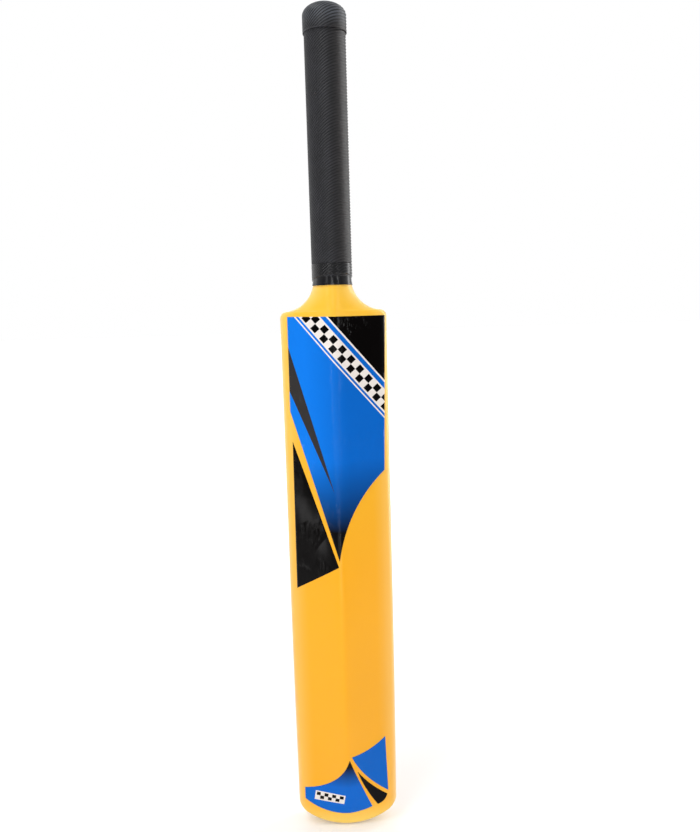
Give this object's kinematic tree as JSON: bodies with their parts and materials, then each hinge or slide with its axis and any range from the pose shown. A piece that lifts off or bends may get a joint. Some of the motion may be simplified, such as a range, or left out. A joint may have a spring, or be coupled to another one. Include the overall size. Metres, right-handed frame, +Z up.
{
  "type": "cricket bat",
  "caption": "Hollow yellow plastic cricket bat with a flat hitting face, a raised back spine, scooped shoulders and a black ribbed rubber grip.",
  "frame": {"origin": "centre of the bat's box in plan, at the lowest point of the toe", "axes": "+Z up the bat from toe to handle, -Y out of the hitting face, +Y out of the spine side, +X across the blade"},
  "size_m": [0.108, 0.0914, 0.8549],
  "materials": {
    "moulding": "satin moulded polyethylene",
    "grip_rubber": "matt ribbed rubber",
    "tape": "glossy tape",
    "blue_vinyl": "glossy vinyl sticker",
    "black_vinyl": "glossy vinyl sticker"
  },
  "bodies": {
    "root": {"bat_moulding": "moulding", "grip_sleeve": "grip_rubber", "grip_end_cap": "grip_rubber", "grip_tape": "tape", "face_panel_decal": "blue_vinyl", "face_bar_decal": "black_vinyl", "back_panel_decal": "blue_vinyl", "back_bar_decal": "black_vinyl", "toe_left_decal": "blue_vinyl", "toe_bar_decal": "black_vinyl", "toe_right_decal": "blue_vinyl"}
  },
  "joints": []
}
